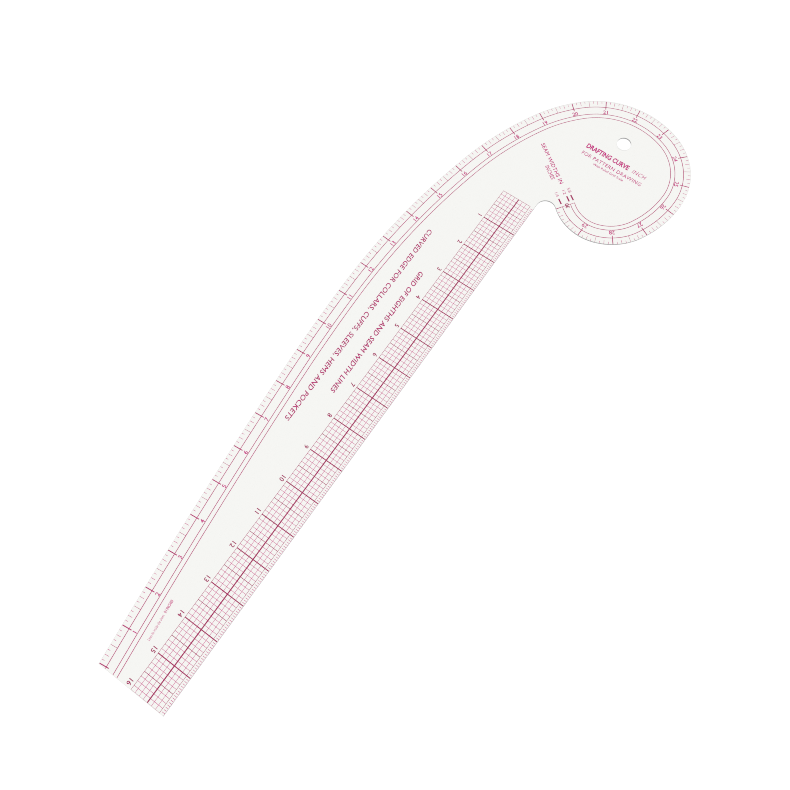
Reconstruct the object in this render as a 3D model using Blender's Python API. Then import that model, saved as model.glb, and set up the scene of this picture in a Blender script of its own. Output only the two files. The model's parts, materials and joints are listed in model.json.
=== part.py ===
"""French curve with a straight inch scale along one side and an inch scale around the other.

Two clear flexible sheets are bonded face to face, with the printed rulings sealed between them.
The readable face looks up. X runs along the straight scale and Y points away from the curved
side. The origin is under the middle of the sheet, on the surface that it lies on.
"""
from math import atan2, ceil, cos, pi, radians, sin, sqrt

import bmesh
import bpy

INCH = 0.0254
MM = 0.001

# The straight scale runs from its zero mark to the square end, and the end is this deep.
STRAIGHT_SCALE = 16 * INCH
END_DEPTH = 2.0 * INCH

# The curved side starts at the outer corner of the end, at this angle to the straight side, and
# is a chain of tangent arcs. Each has a length along the edge and a radius, both in inches.
START_ANGLE = radians(7.43)
EDGE_ARCS = (
    (8.3, 169.0),
    (2.85, 48.0),
    (5.2, 21.0),
    (2.45, 9.18),
    (1.45, 4.55),
    (3.0, 2.64),
    (2.4, 1.97),
    (1.55, 3.23),
    (1.3, 1.76),
    (1.5, 1.44),
)
NOTCH_RADIUS = 0.28 * INCH

# The hole that the sheet hangs by, from the zero mark of the straight scale.
HOLE_AT = (-3.175 * INCH, 1.0 * INCH)
HOLE_RADIUS = 0.2 * INCH

# The two sheets, the room between them for the print, and the ink itself.
SHEET = 0.58 * MM
PRINT_GAP = 0.04 * MM
INK = 0.02 * MM
RIM_RADIUS = 0.15 * MM
RIM_SEGMENTS = 2

# Seam allowance lines parallel to the curved edge, and the marks of the curve scale.
NARROW_SEAM = 0.2 * INCH
MIDDLE_SEAM = 0.4375 * INCH
WIDE_SEAM = 0.5575 * INCH
SEAM_LINE = 0.42 * MM
INCH_MARK = 0.62 * MM
INCH_MARK_END = 0.27 * INCH
HALF_MARK = 0.25 * MM
MARK_CLEARANCE = 0.1 * MM
PRINT_MARGIN = 0.25 * MM

# The bar that closes the curve scale leans forward as it goes in from the edge.
CLOSING_BAR = 0.64 * MM
CLOSING_LEAN = 0.17

# Short bars beyond the closing bar, in line with the seam allowance lines.
SEAM_BAR_START = 0.085 * INCH
SEAM_BAR_LENGTH = 0.175 * INCH
SEAM_BAR_WIDTH = 1.0 * MM

# Lines of the straight scale.
GRID_DEPTH = 1.0 * INCH
GRID_MIDDLE = 0.5 * INCH
GRID_FIRST = 0.125 * INCH
FINE_LINE = 0.24 * MM
HALF_LINE = 0.36 * MM
INCH_LINE = 0.66 * MM
MIDDLE_LINE = 0.78 * MM
END_LINE = 0.1 * MM

# Curves are cut into chords that stay this close to the true arc.
CHORD_ERROR = 0.02 * MM
HOLE_CHORDS = 48

# Points nearer than this are one point, faces flatter than this are one face, and edges sharper
# than this stay sharp.
WELD = 0.001 * MM
FLAT_ANGLE = radians(0.05)
SHARP_ANGLE = radians(35)


def edge_chain():
    """Each arc of the curved edge, as distance along the edge, centre, first heading, radius."""
    x, y, heading = STRAIGHT_SCALE, -END_DEPTH, pi + START_ANGLE
    distance, chain = 0.0, []
    for length, radius in EDGE_ARCS:
        length, radius = length * INCH, radius * INCH
        centre = (x + radius * sin(heading), y - radius * cos(heading))
        chain.append((distance, centre, heading, radius))
        heading -= length / radius
        x, y = centre[0] - radius * sin(heading), centre[1] + radius * cos(heading)
        distance += length
    return chain, distance


CHAIN, CURVE_SCALE = edge_chain()


def edge_point(distance, inset=0.0):
    """A point on the line parallel to the curved edge, at a distance measured on the edge."""
    start, centre, heading, radius = [arc for arc in CHAIN if arc[0] <= max(distance, 0.0)][-1]
    heading -= (distance - start) / radius
    reach = radius - inset
    return centre[0] - reach * sin(heading), centre[1] + reach * cos(heading)


def edge_steps(first, last):
    """Distances from first to last, close enough for their chords to follow the edge."""
    ends = [arc[0] for arc in CHAIN[1:]] + [last]
    steps = [first]
    for end, (_, _, _, radius) in zip(ends, CHAIN):
        here, end = steps[-1], min(end, last)
        count = ceil((end - here) / sqrt(8 * radius * CHORD_ERROR))
        steps += [here + (end - here) * k / count for k in range(1, count + 1)]
    return steps


def notch():
    """The arc that joins the curved edge to the straight edge, and where it leaves the curve."""
    start, (x, y), heading, radius = CHAIN[-1]
    reach = radius + NOTCH_RADIUS
    centre = (x + sqrt(reach ** 2 - (NOTCH_RADIUS - y) ** 2), NOTCH_RADIUS)
    towards = atan2(centre[1] - y, centre[0] - x)
    return centre, towards + pi, start + radius * (heading - towards + pi / 2)


def circle_points(centre, radius, first, last, count):
    """Points along an arc, with both of its ends."""
    angles = [first + (last - first) * k / count for k in range(count + 1)]
    return [(centre[0] + radius * cos(a), centre[1] + radius * sin(a)) for a in angles]


def sheet_outline():
    """Points around the sheet, from the outer corner of the end."""
    centre, first, meet = notch()
    last = 1.5 * pi
    count = ceil((last - first) * sqrt(NOTCH_RADIUS / (8 * CHORD_ERROR)))
    points = [edge_point(distance) for distance in edge_steps(0.0, meet)]
    points += circle_points(centre, NOTCH_RADIUS, first, last, count)[1:]
    return points + [(STRAIGHT_SCALE, 0.0)]


OUTLINE = sheet_outline()
MIDDLE = (
    (min(p[0] for p in OUTLINE) + max(p[0] for p in OUTLINE)) / 2,
    (min(p[1] for p in OUTLINE) + max(p[1] for p in OUTLINE)) / 2,
)


def material(name, colour, roughness, alpha=1.0):
    """A Principled material."""
    made = bpy.data.materials.new(name)
    made.use_nodes = True
    shader = made.node_tree.nodes["Principled BSDF"]
    shader.inputs["Base Color"].default_value = (*colour, 1.0)
    shader.inputs["Roughness"].default_value = roughness
    shader.inputs["Metallic"].default_value = 0.0
    shader.inputs["Alpha"].default_value = alpha
    made.diffuse_color = (*colour, alpha)
    return made


def flat_shape(name, loops, bottom, thickness, finish, collection):
    """A flat outline with any holes in it, as a 2D curve extruded to its thickness."""
    curve = bpy.data.curves.new(name, "CURVE")
    curve.dimensions = "2D"
    curve.fill_mode = "BOTH"
    curve.extrude = thickness / 2
    for loop in loops:
        spline = curve.splines.new("POLY")
        spline.points.add(len(loop) - 1)
        for point, (x, y) in zip(spline.points, loop):
            point.co = (x - MIDDLE[0], y - MIDDLE[1], 0.0, 1.0)
        spline.use_cyclic_u = True
    curve.materials.append(finish)
    shape = bpy.data.objects.new(name, curve)
    shape.location = (0.0, 0.0, bottom + thickness / 2)
    collection.objects.link(shape)
    return shape


def as_mesh(shape, collection):
    """The same piece as a closed mesh, in place of its curve."""
    name, matrix = shape.name, shape.matrix_world.copy()
    evaluated = shape.evaluated_get(bpy.context.evaluated_depsgraph_get())
    mesh = bpy.data.meshes.new_from_object(evaluated)
    shaped = bmesh.new()
    shaped.from_mesh(mesh)
    bmesh.ops.remove_doubles(shaped, verts=shaped.verts, dist=WELD)
    shaped.to_mesh(mesh)
    shaped.free()
    curve = shape.data
    bpy.data.objects.remove(shape)
    bpy.data.curves.remove(curve)
    solid = bpy.data.objects.new(name, mesh)
    solid.matrix_world = matrix
    collection.objects.link(solid)
    return solid


def round_rim(solid, side):
    """Round the rim of the outer face, on the side +1 above or -1 below."""
    shaped = bmesh.new()
    shaped.from_mesh(solid.data)
    bmesh.ops.dissolve_limit(
        shaped, angle_limit=FLAT_ANGLE, verts=[], edges=[e for e in shaped.edges if is_flat(e)]
    )
    rim = [e for e in shaped.edges if not is_flat(e) and all(v.co.z * side > 0 for v in e.verts)]
    bmesh.ops.bevel(
        shaped, geom=rim, offset=RIM_RADIUS, offset_type="OFFSET", segments=RIM_SEGMENTS,
        profile=0.5, affect="EDGES", clamp_overlap=True,
    )
    shaped.to_mesh(solid.data)
    shaped.free()
    solid.data.shade_smooth()
    solid.data.set_sharp_from_angle(angle=SHARP_ANGLE)


def is_flat(edge):
    """Whether the two faces at an edge lie in one level plane."""
    return all(abs(face.normal.z) > 0.5 for face in edge.link_faces)


def make_sheet(name, bottom, side, finish, collection):
    """One clear sheet, with its outer rim rounded and the hanging hole through it."""
    hole = circle_points(HOLE_AT, HOLE_RADIUS, 0.0, 2 * pi, HOLE_CHORDS)[:-1]
    shape = flat_shape(name, [OUTLINE, hole], bottom, SHEET, finish, collection)
    bpy.context.view_layer.update()
    round_rim(as_mesh(shape, collection), side)


def line_start(inset):
    """Distance at which a line at this inset comes up to the square end."""
    return (PRINT_MARGIN - inset * sin(START_ANGLE)) / cos(START_ANGLE)


def closing(inset):
    """Distance at which the closing bar crosses this inset."""
    return CURVE_SCALE + CLOSING_LEAN * inset


def seam_side(inset, marks):
    """One side of a seam allowance line, going out around marks of (distance, width, end)."""
    distances = edge_steps(line_start(inset), closing(inset) - CLOSING_BAR / 2)
    points = [(distance, inset) for distance in distances]
    for middle, width, end in marks:
        corners = [(middle + turn * width / 2, depth) for turn, depth in
                   ((-1, inset), (-1, end), (1, end), (1, inset))]
        points = [p for p in points if abs(p[0] - middle) > width / 2 + MARK_CLEARANCE] + corners
        points.sort(key=lambda p: p[0] if p not in corners else middle)
    return [edge_point(distance, depth) for distance, depth in points]


def curve_scale_outline():
    """The seam allowance lines with the closing bar across their end and the longer marks."""
    inches = [(PRINT_MARGIN + INCH_MARK / 2, INCH_MARK)]
    inches += [(k * INCH, INCH_MARK) for k in range(1, 30)]
    halves = [((k + 0.5) * INCH, HALF_MARK) for k in range(0, 30)]
    half = SEAM_LINE / 2
    inner_end = WIDE_SEAM + half
    outward = [(at, width, PRINT_MARGIN) for at, width in sorted(inches + halves)]
    inward = [(at, width, INCH_MARK_END) for at, width in inches]
    points = seam_side(NARROW_SEAM - half, outward)
    points += [edge_point(closing(PRINT_MARGIN) + side * CLOSING_BAR / 2, PRINT_MARGIN)
               for side in (-1, 1)]
    points.append(edge_point(closing(inner_end) + CLOSING_BAR / 2, inner_end))
    points += seam_side(inner_end, [])[::-1]
    points += seam_side(WIDE_SEAM - half, [])
    points += seam_side(MIDDLE_SEAM + half, [])[::-1]
    points += seam_side(MIDDLE_SEAM - half, [])
    points += seam_side(NARROW_SEAM + half, inward)[::-1]
    return points


def seam_bar_outline(inset):
    """A short bar beyond the end of a seam allowance line, square to the closing bar."""
    here = edge_point(closing(inset), inset)
    outer, inner = edge_point(closing(0.0), 0.0), edge_point(closing(WIDE_SEAM), WIDE_SEAM)
    angle = atan2(inner[1] - outer[1], inner[0] - outer[0]) + pi / 2
    far = SEAM_BAR_START + SEAM_BAR_LENGTH
    corners = ((SEAM_BAR_START, -1), (far, -1), (far, 1), (SEAM_BAR_START, 1))
    return [
        (
            here[0] + along * cos(angle) - across * SEAM_BAR_WIDTH / 2 * sin(angle),
            here[1] + along * sin(angle) + across * SEAM_BAR_WIDTH / 2 * cos(angle),
        )
        for along, across in corners
    ]


def straight_scale_loops():
    """The ruled frame of the straight scale: its outside, then the windows between its lines."""
    columns = [(k / 2 * INCH, (INCH_LINE, HALF_LINE)[k % 2]) for k in range(1, 32)]
    left, right = -FINE_LINE / 2, STRAIGHT_SCALE - PRINT_MARGIN
    top, bottom = -GRID_FIRST + FINE_LINE / 2, -GRID_DEPTH - FINE_LINE / 2
    outside = [(right, bottom), (left, bottom), (left, top)]
    for at, width in columns:
        reach = -PRINT_MARGIN if width == INCH_LINE else top
        if reach > top:
            outside += [(at - width / 2, y) for y in (top, reach)]
            outside += [(at + width / 2, y) for y in (reach, top)]
    outside.append((right, top))
    walls = [(0.0, FINE_LINE)] + columns + [(right - END_LINE / 2, END_LINE)]
    floors = [(-GRID_FIRST, FINE_LINE), (-GRID_MIDDLE, MIDDLE_LINE), (-GRID_DEPTH, FINE_LINE)]
    windows = []
    for (x0, w0), (x1, w1) in zip(walls, walls[1:]):
        for (y0, h0), (y1, h1) in zip(floors, floors[1:]):
            x_low, x_high = x0 + w0 / 2, x1 - w1 / 2
            y_low, y_high = y1 + h1 / 2, y0 - h0 / 2
            windows.append([(x_low, y_low), (x_high, y_low), (x_high, y_high), (x_low, y_high)])
    return [outside] + windows


def main():
    """Build the two sheets and the print between them."""
    for old in list(bpy.data.objects):
        bpy.data.objects.remove(old)
    collection = bpy.data.collections.new("french_curve")
    bpy.context.scene.collection.children.link(collection)

    clear = material("clear_sheet", (0.93, 0.94, 0.93), 0.08, 0.3)
    ink = material("print_ink", (0.62, 0.02, 0.16), 0.5)
    ink_bottom = SHEET + (PRINT_GAP - INK) / 2

    make_sheet("base_sheet", 0.0, -1, clear, collection)
    make_sheet("cover_sheet", SHEET + PRINT_GAP, 1, clear, collection)
    prints = (
        ("curve_scale_print", [curve_scale_outline()]),
        ("straight_scale_print", straight_scale_loops()),
        ("narrow_seam_bar", [seam_bar_outline(NARROW_SEAM)]),
        ("middle_seam_bar", [seam_bar_outline(MIDDLE_SEAM)]),
        ("wide_seam_bar", [seam_bar_outline(WIDE_SEAM)]),
    )
    for name, loops in prints:
        flat_shape(name, loops, ink_bottom, INK, ink, collection)


main()
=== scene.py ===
"""Clear flexible drafting curve, printed in crimson with a straight and a curved inch scale.

Adds the finer rulings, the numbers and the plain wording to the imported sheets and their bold
lines, gives everything its plastic and ink, and sets the floor, the lights and the camera.
All print is flat ink that lies inside the sheet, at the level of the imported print.
"""
import json
from math import ceil, cos, pi, radians, sin

import bmesh
import bpy
from mathutils import Matrix, Vector


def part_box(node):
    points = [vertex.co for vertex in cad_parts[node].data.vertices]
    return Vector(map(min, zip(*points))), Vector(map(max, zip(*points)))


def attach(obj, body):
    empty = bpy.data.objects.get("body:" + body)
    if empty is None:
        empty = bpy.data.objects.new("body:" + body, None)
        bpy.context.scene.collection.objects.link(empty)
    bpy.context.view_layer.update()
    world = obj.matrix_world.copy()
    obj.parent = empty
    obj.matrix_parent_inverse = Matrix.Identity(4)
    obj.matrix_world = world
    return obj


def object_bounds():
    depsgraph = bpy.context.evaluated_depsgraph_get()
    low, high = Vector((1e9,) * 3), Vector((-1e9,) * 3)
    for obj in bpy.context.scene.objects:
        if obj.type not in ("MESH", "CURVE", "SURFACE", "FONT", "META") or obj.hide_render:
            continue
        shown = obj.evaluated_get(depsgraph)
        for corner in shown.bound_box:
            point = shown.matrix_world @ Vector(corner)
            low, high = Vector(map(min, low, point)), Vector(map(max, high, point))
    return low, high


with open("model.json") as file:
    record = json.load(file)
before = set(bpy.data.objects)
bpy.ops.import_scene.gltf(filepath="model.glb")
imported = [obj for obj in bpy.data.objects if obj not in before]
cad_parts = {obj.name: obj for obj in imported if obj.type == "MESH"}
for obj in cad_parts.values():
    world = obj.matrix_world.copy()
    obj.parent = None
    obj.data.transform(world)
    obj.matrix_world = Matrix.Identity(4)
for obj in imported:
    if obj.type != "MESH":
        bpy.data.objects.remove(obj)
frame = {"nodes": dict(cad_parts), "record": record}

CAD_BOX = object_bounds()

INCH = 0.0254
MM = 0.001

# The curved edge, as in the part: a chain of tangent arcs from the outer corner of the square
# end. Each has a length along the edge and a radius, both in inches.
STRAIGHT_SCALE = 16 * INCH
END_DEPTH = 2.0 * INCH
START_ANGLE = radians(7.43)
EDGE_ARCS = (
    (8.3, 169.0),
    (2.85, 48.0),
    (5.2, 21.0),
    (2.45, 9.18),
    (1.45, 4.55),
    (3.0, 2.64),
    (2.4, 1.97),
    (1.55, 3.23),
    (1.3, 1.76),
    (1.5, 1.44),
)
CURVE_INCHES = 30

# The ruled grid of the straight scale, down from the straight edge. The last line of the grid,
# at the square end, is the thinnest.
GRID_DEPTH = 1.0 * INCH
GRID_STEP = 0.125 * INCH
FINE_LINE = 0.26 * MM
END_LINE = 0.1 * MM
PRINT_MARGIN = 0.25 * MM

# The marks between the inch lines of the straight scale, sixteen to the inch, start from a thin
# line along the edge.
MARKS_PER_INCH = 16
EDGE_MARK = 0.28 * MM
EDGE_MARK_END = 0.085 * INCH
EDGE_LINE_END = 0.33 * MM

# The finer marks of the curve scale.
FINE_MARK = 0.28 * MM
QUARTER_MARK_END = 0.125 * INCH
EIGHTH_MARK_END = 0.08 * INCH

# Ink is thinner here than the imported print, so that it hides where it meets a packed line.
INK = 0.012 * MM

# Numbers: their height, the distance of their base line from the edge they count along, and how
# much bolder than the plain font they are, as a share of its size.
DIGIT_WEIGHT = 0.016
CURVE_DIGIT_HEIGHT = 0.112 * INCH
CURVE_DIGIT_BASE = 0.42 * INCH
STRAIGHT_DIGIT_HEIGHT = 0.118 * INCH
STRAIGHT_DIGIT_BASE = 1.19 * INCH
LAST_DIGITS_ALONG = 15.88 * INCH
CLOSING_DIGIT_HEIGHT = 0.1 * INCH
CLOSING_DIGIT_WEIGHT = 0.035
CLOSING_DIGIT_BASE = 0.385 * INCH
CLOSING_DIGIT_ALONG = (CURVE_INCHES + 0.03) * INCH

# The words beyond the three seam bars, with their heading in degrees. Each fraction stands by its
# bar, at a distance along and down from the zero mark, in inches.
LABEL_HEADING = 54.5
FRACTION_HEIGHT = 0.085 * INCH
FRACTIONS = (
    ("5/8", -1.01, -0.47),
    ("1/2", -0.875, -0.39),
    ("1/4", -0.70, -0.26),
)

# The small note inside the widest seam allowance line: words, start and length along the curve
# in inches, and weight.
NOTE_HEIGHT = 0.07 * INCH
NOTE_BASE = 0.79 * INCH
NOTE_WORDS = (
    ("Lines lie inside the sheet", 1.0, 0.66, 0.0),
    ("IN INCHES", 1.72, 0.33, 0.02),
)


def mount(name):
    """Where the record puts a mount."""
    return Vector(next(m["pos_m"] for m in frame["record"]["mounts"] if m["name"] == name))


# The zero mark of the straight scale, on the straight edge.
ZERO_X = mount("square_end").x - STRAIGHT_SCALE
ZERO_Y = mount("straight_edge").y
PRINT_Z = sum(corner.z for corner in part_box("straight_scale_print")) / 2


def edge_chain():
    """Each arc of the curved edge, as distance along the edge, centre, first heading, radius."""
    x, y, heading = ZERO_X + STRAIGHT_SCALE, ZERO_Y - END_DEPTH, pi + START_ANGLE
    distance, chain = 0.0, []
    for length, radius in EDGE_ARCS:
        length, radius = length * INCH, radius * INCH
        centre = (x + radius * sin(heading), y - radius * cos(heading))
        chain.append((distance, centre, heading, radius))
        heading -= length / radius
        x, y = centre[0] - radius * sin(heading), centre[1] + radius * cos(heading)
        distance += length
    return chain


CHAIN = edge_chain()


def edge_place(distance, inset):
    """A point on the line parallel to the curved edge, and the heading there."""
    start, centre, heading, radius = [arc for arc in CHAIN if arc[0] <= max(distance, 0.0)][-1]
    heading -= (distance - start) / radius
    reach = radius - inset
    return centre[0] - reach * sin(heading), centre[1] + reach * cos(heading), heading


def straight_place(along, down):
    """A point at a distance along the straight scale and down from the straight edge."""
    return ZERO_X + along, ZERO_Y - down


# ---------------------------------------------------------------- materials


def new_material(name):
    """A material with an empty node tree, and its output."""
    made = bpy.data.materials.new(name)
    made.use_nodes = True
    made.node_tree.nodes.clear()
    return made, made.node_tree.nodes.new("ShaderNodeOutputMaterial")


def node(tree, kind, **values):
    """A node with values set on its properties or, where it has none of that name, its inputs."""
    made = tree.nodes.new("ShaderNode" + kind)
    for key, value in values.items():
        if hasattr(made, key):
            setattr(made, key, value)
        else:
            made.inputs[key.replace("_", " ")].default_value = value
    return made


def mixed(tree, share, first, second):
    """Two shaders mixed, by the share of the second."""
    made = node(tree, "MixShader")
    tree.links.new(share, made.inputs["Fac"])
    tree.links.new(first, made.inputs[1])
    tree.links.new(second, made.inputs[2])
    return made.outputs["Shader"]


def product(tree, value, factor):
    """A value times another value, or times a plain number."""
    made = node(tree, "Math", operation="MULTIPLY")
    tree.links.new(value, made.inputs[0])
    if isinstance(factor, float):
        made.inputs[1].default_value = factor
    else:
        tree.links.new(factor, made.inputs[1])
    return made.outputs["Value"]


def ranged(tree, value, **limits):
    """A value mapped from one range to another."""
    made = node(tree, "MapRange", **limits)
    tree.links.new(value, made.inputs["Value"])
    return made.outputs["Result"]


def bumped(tree, height, strength, depth, normal=None):
    """A normal tilted by a height, on top of another normal if one is given."""
    made = node(tree, "Bump", Strength=strength, Distance=depth)
    tree.links.new(height, made.inputs["Height"])
    if normal:
        tree.links.new(normal, made.inputs["Normal"])
    return made.outputs["Normal"]


def ink_material(name, thick, thin):
    """Screen-printed ink, with a slightly uneven film between two colours."""
    made, output = new_material(name)
    tree = made.node_tree
    place = node(tree, "TexCoord")
    film = node(tree, "TexNoise", Scale=900.0, Detail=3.0, Roughness=0.6)
    tree.links.new(place.outputs["Object"], film.inputs["Vector"])
    colours = node(tree, "ValToRGB")
    colours.color_ramp.elements[0].position = 0.35
    colours.color_ramp.elements[0].color = (*thick, 1.0)
    colours.color_ramp.elements[1].position = 0.7
    colours.color_ramp.elements[1].color = (*thin, 1.0)
    tree.links.new(film.outputs["Fac"], colours.inputs["Fac"])
    shader = node(tree, "BsdfPrincipled", Roughness=0.55, Specular_IOR_Level=0.0)
    tree.links.new(colours.outputs["Color"], shader.inputs["Base Color"])
    uneven = bumped(tree, film.outputs["Fac"], strength=0.15, depth=0.02 * MM)
    tree.links.new(uneven, shader.inputs["Normal"])
    tree.links.new(shader.outputs["BSDF"], output.inputs["Surface"])
    return made


def clear_face(tree, place, side):
    """The sheet's outer face: clear, with a gloss broken by faint waves and fine rubbing marks.
    Only light from outside meets the gloss."""
    waves = node(tree, "TexNoise", Scale=18.0, Detail=2.0)
    rubbed = node(tree, "TexNoise", Scale=2400.0, Detail=2.0)
    tree.links.new(place.outputs["Object"], waves.inputs["Vector"])
    tree.links.new(place.outputs["Object"], rubbed.inputs["Vector"])
    wavy = bumped(tree, waves.outputs["Fac"], strength=0.3, depth=0.4 * MM)
    worn = bumped(tree, rubbed.outputs["Fac"], strength=0.1, depth=0.01 * MM, normal=wavy)

    clear = node(tree, "BsdfTransparent", Color=(0.942, 0.943, 0.930, 1.0))
    shine = node(tree, "BsdfGlossy", Color=(1.0, 1.0, 1.0, 1.0))
    roughness = ranged(tree, rubbed.outputs["Fac"], To_Min=0.04, To_Max=0.12)
    tree.links.new(roughness, shine.inputs["Roughness"])
    tree.links.new(worn, shine.inputs["Normal"])

    fresnel = node(tree, "Fresnel", IOR=1.49)
    tree.links.new(wavy, fresnel.inputs["Normal"])
    from_outside = ranged(tree, side.outputs["Backfacing"], To_Min=1.0, To_Max=0.0)
    gloss = product(tree, fresnel.outputs["Fac"], from_outside)
    return mixed(tree, gloss, clear.outputs["BSDF"], shine.outputs["BSDF"])


def cut_edge(tree, side):
    """The sheet's cut edge, with painted shade and reflection: it is drawn dark grey from outside, in
    place of the dark surroundings that the clear edge mirrors, and nearly clear from within.
    """
    clear = node(tree, "BsdfTransparent", Color=(0.97, 0.97, 0.97, 1.0))
    # Painted shade and reflection: a dark grey on the clear edge, strongest where it is seen from
    # outside.
    painted_edge_shade = node(tree, "BsdfPrincipled", Base_Color=(0.13, 0.13, 0.135, 1.0), Roughness=0.35)
    share = ranged(tree, side.outputs["Backfacing"], To_Min=0.8, To_Max=0.12)
    return mixed(tree, share, clear.outputs["BSDF"], painted_edge_shade.outputs["BSDF"])


def sheet_material(name, outer_side):
    """Clear flexible plastic. Its outer face looks up (1) or down (-1), and the face on the
    print is optically joined to it."""
    made, output = new_material(name)
    tree = made.node_tree
    place = node(tree, "TexCoord")
    side = node(tree, "NewGeometry")
    facing = node(tree, "SeparateXYZ")
    tree.links.new(place.outputs["Normal"], facing.inputs["Vector"])

    joined = node(tree, "BsdfTransparent", Color=(1.0, 1.0, 1.0, 1.0))
    outward = product(tree, facing.outputs["Z"], outer_side)
    outer_share = ranged(tree, outward, From_Min=-0.2, From_Max=0.2)
    faces = mixed(tree, outer_share, joined.outputs["BSDF"], clear_face(tree, place, side))

    level = node(tree, "Math", operation="ABSOLUTE")
    tree.links.new(facing.outputs["Z"], level.inputs[0])
    wall_share = ranged(tree, level.outputs["Value"], From_Min=0.9, From_Max=0.3)
    tree.links.new(mixed(tree, wall_share, faces, cut_edge(tree, side)), output.inputs["Surface"])
    return made


# Three depths of film: full for the bold lines and figures of the straight scale, the seam bars
# and the 30 beside them, middling for the curve scale and the long captions, and thin and pinker
# for the rest.
FULL_INK = ink_material("print_ink_full", (0.34, 0.003, 0.09), (0.43, 0.005, 0.13))
MIDDLE_INK = ink_material("print_ink_middle", (0.42, 0.004, 0.13), (0.52, 0.007, 0.19))
FINE_INK = ink_material("print_ink_fine", (0.54, 0.006, 0.20), (0.64, 0.010, 0.26))


# ---------------------------------------------------------------- flat print


def flat_print(name, loops, ink):
    """Outlines as a thin closed piece of print."""
    curve = bpy.data.curves.new(name, "CURVE")
    curve.dimensions = "2D"
    curve.fill_mode = "BOTH"
    curve.extrude = INK / 2
    for loop in loops:
        spline = curve.splines.new("POLY")
        spline.points.add(len(loop) - 1)
        for point, (x, y) in zip(spline.points, loop):
            point.co = (x, y, 0.0, 1.0)
        spline.use_cyclic_u = True
    shape = bpy.data.objects.new(name + "_outline", curve)
    bpy.context.scene.collection.objects.link(shape)
    as_print(name, [(shape, Matrix.Translation((0.0, 0.0, PRINT_Z)))], ink)


def closed_mesh(shape):
    """The evaluated mesh of a curve or text, with its faces joined up, as a bmesh."""
    bpy.context.view_layer.update()
    evaluated = shape.evaluated_get(bpy.context.evaluated_depsgraph_get())
    mesh = bpy.data.meshes.new_from_object(evaluated)
    shaped = bmesh.new()
    shaped.from_mesh(mesh)
    bmesh.ops.remove_doubles(shaped, verts=shaped.verts, dist=0.1 * INK)
    bpy.data.meshes.remove(mesh)
    return shaped


def as_print(name, placed, ink):
    """One piece of print from shapes and the matrix that puts each in place."""
    joined = bmesh.new()
    for shape, matrix in placed:
        shaped = closed_mesh(shape)
        bmesh.ops.transform(shaped, matrix=matrix, verts=shaped.verts)
        mesh = bpy.data.meshes.new(name)
        shaped.to_mesh(mesh)
        shaped.free()
        joined.from_mesh(mesh)
        bpy.data.meshes.remove(mesh)
        data = shape.data
        bpy.data.objects.remove(shape)
        bpy.data.curves.remove(data)
    add_print(name, joined, ink)


def add_print(name, shaped, ink):
    """One piece of print from a bmesh."""
    mesh = bpy.data.meshes.new(name)
    shaped.to_mesh(mesh)
    shaped.free()
    mesh.materials.append(ink)
    piece = bpy.data.objects.new(name, mesh)
    bpy.context.scene.collection.objects.link(piece)
    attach(piece, "root")


def lattice_print(name, alongs, downs, is_inked, ink):
    """A thin closed piece made of the cells of a lattice that is_inked(column, row) picks. The
    lattice is given by its distances along the straight scale and down from the straight edge."""
    shaped = bmesh.new()
    corners = {}
    for i, along in enumerate(alongs):
        for j, down in enumerate(downs):
            for level in (0, 1):
                x, y = straight_place(along, down)
                corners[i, j, level] = shaped.verts.new((x, y, PRINT_Z + (level - 0.5) * INK))
    columns, rows = range(len(alongs) - 1), range(len(downs) - 1)
    cells = [(i, j) for i in columns for j in rows if is_inked(i, j)]
    inked = set(cells)
    for i, j in cells:
        ring = [(i, j), (i, j + 1), (i + 1, j + 1), (i + 1, j)]
        beside = [(i - 1, j), (i, j + 1), (i + 1, j), (i, j - 1)]
        shaped.faces.new([corners[*at, 1] for at in ring])
        shaped.faces.new([corners[*at, 0] for at in reversed(ring)])
        for here, there, neighbour in zip(ring, ring[1:] + ring[:1], beside):
            if neighbour not in inked:
                shaped.faces.new([corners[*here, 0], corners[*there, 0],
                                  corners[*there, 1], corners[*here, 1]])
    unused = [corner for corner in shaped.verts if not corner.link_faces]
    bmesh.ops.delete(shaped, geom=unused, context="VERTS")
    add_print(name, shaped, ink)


def line_sides(middles, width):
    """Both sides of each line of a width, in order."""
    return [middle + turn * width / 2 for middle in middles for turn in (-1, 1)]


def ruling_grid():
    """The eighth-inch squares of the straight scale."""
    end = STRAIGHT_SCALE - PRINT_MARGIN
    columns = [k * GRID_STEP for k in range(round(STRAIGHT_SCALE / GRID_STEP))]
    rows = [k * GRID_STEP for k in range(1, round(GRID_DEPTH / GRID_STEP) + 1)]
    alongs = line_sides(columns, FINE_LINE) + [end - END_LINE, end]
    lattice_print("ruling_grid", alongs, line_sides(rows, FINE_LINE),
                  lambda column, row: column % 2 == 0 or row % 2 == 0, FINE_INK)


def edge_marks():
    """The sixteenth-inch marks between the inch lines, and the thin line that joins them."""
    count = round(STRAIGHT_SCALE / INCH) * MARKS_PER_INCH
    marks = [k * INCH / MARKS_PER_INCH for k in range(count) if k % MARKS_PER_INCH]
    alongs = [PRINT_MARGIN] + line_sides(marks, EDGE_MARK) + [STRAIGHT_SCALE - PRINT_MARGIN]
    lattice_print("sixteenth_inch_marks", alongs, (PRINT_MARGIN, EDGE_LINE_END, EDGE_MARK_END),
                  lambda column, row: column % 2 == 1 or row == 0, FINE_INK)


def curve_marks(name, first, step, depth):
    """Marks across the curved edge at a first distance and every step after it, in inches."""
    corners = ((-1, PRINT_MARGIN), (1, PRINT_MARGIN), (1, depth), (-1, depth))
    loops = []
    for k in range(ceil((CURVE_INCHES - first) / step)):
        middle = (first + k * step) * INCH
        loops.append([edge_place(middle + turn * FINE_MARK / 2, d)[:2] for turn, d in corners])
    flat_print(name, loops, FINE_INK)


# ---------------------------------------------------------------- numbers and words


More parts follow.
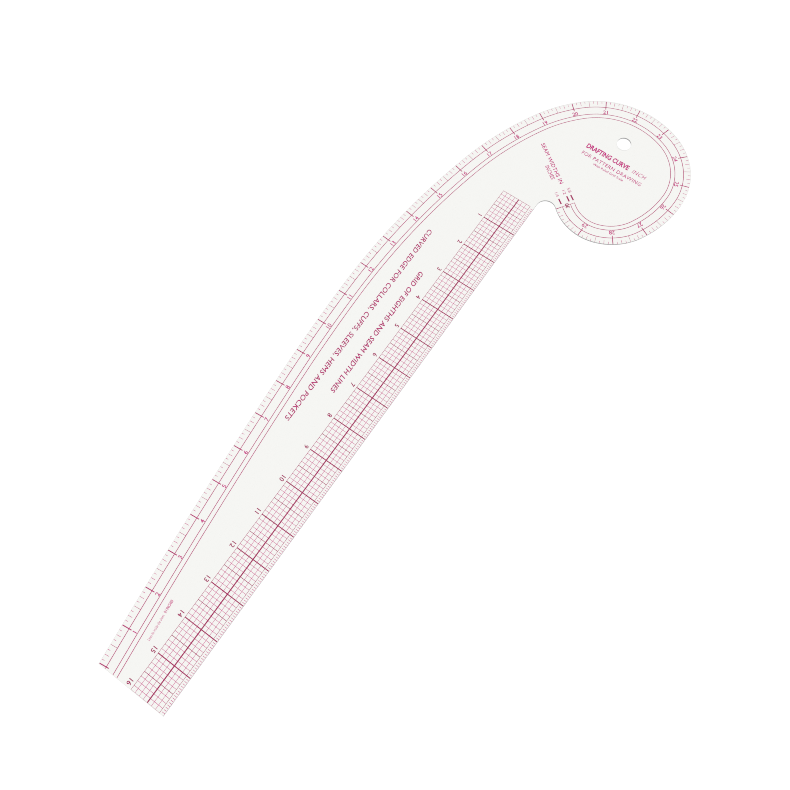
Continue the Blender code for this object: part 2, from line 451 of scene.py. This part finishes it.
def new_text(words):
    """A line of text in the scene, in the plain font at size 1."""
    data = bpy.data.curves.new("lettering", "FONT")
    data.body = words
    shape = bpy.data.objects.new("lettering", data)
    bpy.context.scene.collection.objects.link(shape)
    return shape


def capital_height():
    """The height of a capital in the plain font at size 1."""
    shape = new_text("H")
    bpy.context.view_layer.update()
    height = max(corner[1] for corner in shape.bound_box)
    data = shape.data
    bpy.data.objects.remove(shape)
    bpy.data.curves.remove(data)
    return height


CAPITALS = capital_height()


def lettering(words, height, width=None, weight=0.0, slant=0.0, middle=0.5, spacing=1.0):
    """Text with its capitals or figures at a height, from its base line. It is centred on the
    origin, or with middle at 0 starts there, and is stretched to a width if one is given."""
    shape = new_text(words)
    data = shape.data
    data.resolution_u = 3
    data.bevel_depth = weight
    data.bevel_resolution = 0
    data.space_character = spacing
    bpy.context.view_layer.update()
    left = min(corner[0] for corner in shape.bound_box)
    right = max(corner[0] for corner in shape.bound_box)
    data.extrude = 0.5
    scale_y = height / CAPITALS
    scale_x = width / (right - left) if width else scale_y
    start = Matrix.Translation((-left - (right - left) * middle, 0.0, 0.0))
    sized = Matrix.Diagonal((scale_x, scale_y, INK, 1.0))
    return shape, Matrix.Shear("XZ", 4, (slant, 0.0)) @ sized @ start


def put(lettered, x, y, heading):
    """Lettering with the matrix that puts it at a point of the sheet, reading along a heading."""
    shape, sized = lettered
    return shape, Matrix.Translation((x, y, PRINT_Z)) @ Matrix.Rotation(heading, 4, "Z") @ sized


def curve_numerals():
    """1 to 29 along the curved edge, with their tops towards it."""
    placed = []
    for inches in range(1, CURVE_INCHES):
        made = lettering(str(inches), CURVE_DIGIT_HEIGHT, weight=DIGIT_WEIGHT)
        placed.append(put(made, *edge_place(inches * INCH, CURVE_DIGIT_BASE)))
    as_print("curve_scale_numerals", placed, FINE_INK)


def closing_numeral():
    """30 in bold on the closing bar, between the first two seam allowance lines."""
    made = lettering("30", CLOSING_DIGIT_HEIGHT, weight=CLOSING_DIGIT_WEIGHT)
    placed = [put(made, *edge_place(CLOSING_DIGIT_ALONG, CLOSING_DIGIT_BASE))]
    as_print("closing_numeral", placed, FULL_INK)


def seam_fractions():
    """The seam widths that the three bars stand for, beyond the bars."""
    placed = []
    for words, along, down in FRACTIONS:
        place = straight_place(along * INCH, down * INCH)
        placed.append(put(lettering(words, FRACTION_HEIGHT), *place, radians(LABEL_HEADING)))
    as_print("seam_width_fractions", placed, FINE_INK)


def straight_numerals():
    """1 to 16 below the grid. The last one stands back from the square end."""
    placed = []
    for inches in range(1, round(STRAIGHT_SCALE / INCH) + 1):
        along = min(inches * INCH, LAST_DIGITS_ALONG)
        made = lettering(str(inches), STRAIGHT_DIGIT_HEIGHT, weight=DIGIT_WEIGHT)
        placed.append(put(made, *straight_place(along, STRAIGHT_DIGIT_BASE), 0.0))
    as_print("straight_scale_numerals", placed, FULL_INK)


def wording(words, along, down, length, height, heading=0.0, **look):
    """A line of words that starts at a distance along and down from the zero mark. Distances and
    sizes are in inches, and the heading is in degrees."""
    made = lettering(words, height * INCH, length * INCH, middle=0.0, **look)
    return put(made, *straight_place(along * INCH, down * INCH), radians(heading))


def long_captions():
    """The two slanted captions that run along the middle of the blade."""
    wide = {"height": 0.135, "slant": 0.2, "spacing": 1.05}
    as_print("grid_caption", [
        wording("GRID OF EIGHTHS AND SEAM WIDTH LINES", 3.34, 1.53, length=4.10, weight=0.017, **wide),
    ], MIDDLE_INK)
    as_print("edge_caption", [
        wording("CURVED EDGE FOR COLLARS, CUFFS, SLEEVES, HEMS AND POCKETS", 2.15, 2.05,
                length=6.56, weight=0.015, **wide),
    ], MIDDLE_INK)


def head_words():
    """The title on the head, with its unit, its purpose and a note, read across the blade."""
    as_print("head_title", [
        wording("DRAFTING CURVE", -2.50, -0.16, length=1.35, height=0.145, heading=90, weight=0.035),
    ], FINE_INK)
    as_print("head_unit", [
        wording("INCH", -2.50, -1.64, length=0.40, height=0.12, heading=90, slant=0.15, spacing=1.15),
    ], FINE_INK)
    as_print("head_purpose", [
        wording("FOR PATTERN DRAWING", -2.25, -0.16, length=1.89, height=0.11, heading=90,
                weight=0.006, spacing=1.1),
    ], FINE_INK)
    as_print("head_note", [
        wording("With Ruled Grid Scale", -2.11, -0.61, length=0.96, height=0.07, heading=90,
                weight=0.01),
    ], FINE_INK)


def seam_label():
    """The two lines that name the fractions."""
    small = {"height": 0.11, "heading": LABEL_HEADING, "weight": 0.014, "spacing": 1.1}
    as_print("seam_label", [
        wording("SEAM WIDTHS IN", -1.865, 0.942, length=1.38, **small),
        wording("INCHES", -1.315, 0.462, length=0.46, **small),
    ], FINE_INK)


def sealed_note():
    """A small note inside the widest seam allowance line, read along the curve, in two weights."""
    placed = []
    for words, start, length, weight in NOTE_WORDS:
        made = lettering(words, NOTE_HEIGHT, length * INCH, weight, middle=0.0)
        placed.append(put(made, *edge_place(start * INCH, NOTE_BASE)))
    as_print("sealed_note", placed, FINE_INK)


ruling_grid()
edge_marks()
curve_marks("quarter_inch_marks", 0.25, 0.5, QUARTER_MARK_END)
curve_marks("eighth_inch_marks", 0.125, 0.25, EIGHTH_MARK_END)
curve_numerals()
closing_numeral()
seam_fractions()
straight_numerals()
long_captions()
head_words()
seam_label()
sealed_note()


def dress(name, material):
    """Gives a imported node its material."""
    materials = frame["nodes"][name].data.materials
    materials.clear()
    materials.append(material)


dress("base_sheet", sheet_material("clear_sheet_base", -1.0))
dress("cover_sheet", sheet_material("clear_sheet_cover", 1.0))
dress("curve_scale_print", MIDDLE_INK)
for name in ("straight_scale_print", "narrow_seam_bar", "middle_seam_bar", "wide_seam_bar"):
    dress(name, FULL_INK)


# ---------------------------------------------------------------- floor, lights and camera


FLOOR_SIZE = 6.0
FLOOR_GAP = 0.1 * MM
FLOOR_GLOW = 1.05
FLOOR_GLOW_SHARE = 0.96

# Soft lamps around the sheet, low enough that it doesn't mirror them to someone above it. Each
# has its direction around the sheet and its power in watts.
SOFTBOX_DISTANCE = 2.0
SOFTBOX_HEIGHT = radians(40)
SOFTBOX_SIZE = 1.1
SOFTBOXES = (
    ("key_softbox", radians(70), 10.0),
    ("fill_softbox", radians(-50), 6.0),
    ("low_softbox", radians(-120), 3.0),
)

# The camera stands close over the head and looks steeply down. It is turned by degrees.
CAMERA_PLACE = (0.13330, 0.08768, 0.48688)
CAMERA_TURN = (16.6966, 1.3545, 125.1628)
CAMERA_LENS = 35.2666
CAMERA_SENSOR = 36.0
CAMERA_SHIFT = (0.00127, -0.00064)
CAMERA_NEAREST = 0.01


def floor():
    """A plain pale floor just under the sheet, which gives off most of its own light."""
    place = (0.0, 0.0, CAD_BOX[0].z - FLOOR_GAP)
    bpy.ops.mesh.primitive_plane_add(size=FLOOR_SIZE, location=place)
    ground = bpy.context.object
    ground.name = "floor"
    made, output = new_material("pale_floor")
    tree = made.node_tree
    lit = node(tree, "BsdfDiffuse", Color=(0.9, 0.9, 0.9, 1.0))
    glowing = node(tree, "Emission", Strength=FLOOR_GLOW)
    shader = node(tree, "MixShader", Fac=FLOOR_GLOW_SHARE)
    tree.links.new(lit.outputs["BSDF"], shader.inputs[1])
    tree.links.new(glowing.outputs["Emission"], shader.inputs[2])
    tree.links.new(shader.outputs["Shader"], output.inputs["Surface"])
    ground.data.materials.append(made)


def white_surround():
    """A white surround that darkens overhead, where a flat sheet would mirror it."""
    world = bpy.data.worlds.new("studio")
    world.use_nodes = True
    tree = world.node_tree
    background = tree.nodes["Background"]
    background.inputs["Color"].default_value = (1.0, 1.0, 1.0, 1.0)
    place = node(tree, "TexCoord")
    up = node(tree, "SeparateXYZ")
    tree.links.new(place.outputs["Generated"], up.inputs["Vector"])
    glow = ranged(tree, up.outputs["Z"], From_Min=0.35, From_Max=0.8, To_Min=1.0, To_Max=0.78)
    tree.links.new(glow, background.inputs["Strength"])
    bpy.context.scene.world = world


def softboxes():
    """The soft lamps, all turned to the middle of the sheet."""
    level = SOFTBOX_DISTANCE * cos(SOFTBOX_HEIGHT)
    height = SOFTBOX_DISTANCE * sin(SOFTBOX_HEIGHT)
    for name, azimuth, watts in SOFTBOXES:
        lamp = bpy.data.lights.new(name, "AREA")
        lamp.shape = "SQUARE"
        lamp.size = SOFTBOX_SIZE
        lamp.energy = watts
        softbox = bpy.data.objects.new(name, lamp)
        softbox.location = (level * cos(azimuth), level * sin(azimuth), height)
        softbox.rotation_euler = (-softbox.location).to_track_quat("-Z", "Y").to_euler()
        bpy.context.scene.collection.objects.link(softbox)


def camera():
    """The camera, with the square end at lower left."""
    data = bpy.data.cameras.new("camera")
    data.sensor_width = CAMERA_SENSOR
    data.lens = CAMERA_LENS
    data.shift_x, data.shift_y = CAMERA_SHIFT
    data.clip_start = CAMERA_NEAREST
    made = bpy.data.objects.new("camera", data)
    made.location = CAMERA_PLACE
    made.rotation_euler = [radians(turn) for turn in CAMERA_TURN]
    bpy.context.scene.collection.objects.link(made)
    bpy.context.scene.camera = made


def picture_settings():
    """Plain colours, and the finest rulings kept: a narrow filter, no smoothing, and light that
    passes all the clear layers."""
    scene = bpy.context.scene
    scene.view_settings.view_transform = "Standard"
    scene.cycles.filter_width = 1.0
    scene.cycles.use_denoising = False
    scene.cycles.min_transparent_bounces = 8


floor()
white_surround()
softboxes()
camera()
picture_settings()
